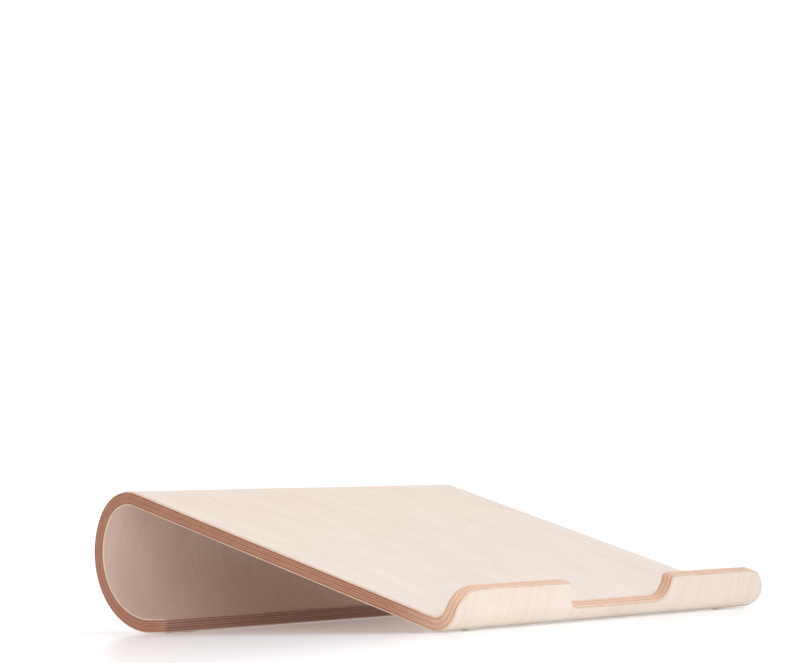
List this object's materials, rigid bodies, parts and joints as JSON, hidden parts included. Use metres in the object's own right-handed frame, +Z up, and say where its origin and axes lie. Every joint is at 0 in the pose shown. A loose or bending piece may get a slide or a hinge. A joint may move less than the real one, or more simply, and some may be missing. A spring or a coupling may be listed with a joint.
{
  "type": "laptop stand",
  "caption": "Bent plywood laptop stand: a flat foot curls up into a sloping plate that ends in an upturned lip with a finger notch.",
  "frame": {"origin": "centre of the base, on the table surface", "axes": "+X to the right along the lip, +Y from the lip to the rear bend, +Z up"},
  "size_m": [0.235, 0.2292, 0.0678],
  "materials": {
    "face_veneer": "pale birch, satin clear lacquer",
    "cross_core": "birch core veneer, edges sanded and oiled",
    "long_core": "birch core veneer, edges sanded and oiled",
    "grip_dot": "frosted clear silicone film"
  },
  "bodies": {
    "root": {"face_veneer_upper": "face_veneer", "core_ply_1": "cross_core", "core_ply_2": "long_core", "core_ply_3": "cross_core", "core_ply_4": "long_core", "core_ply_5": "cross_core", "face_veneer_lower": "face_veneer", "grip_dot_front_left": "grip_dot", "grip_dot_front_right": "grip_dot", "grip_dot_rear_left": "grip_dot", "grip_dot_rear_right": "grip_dot"}
  },
  "joints": []
}
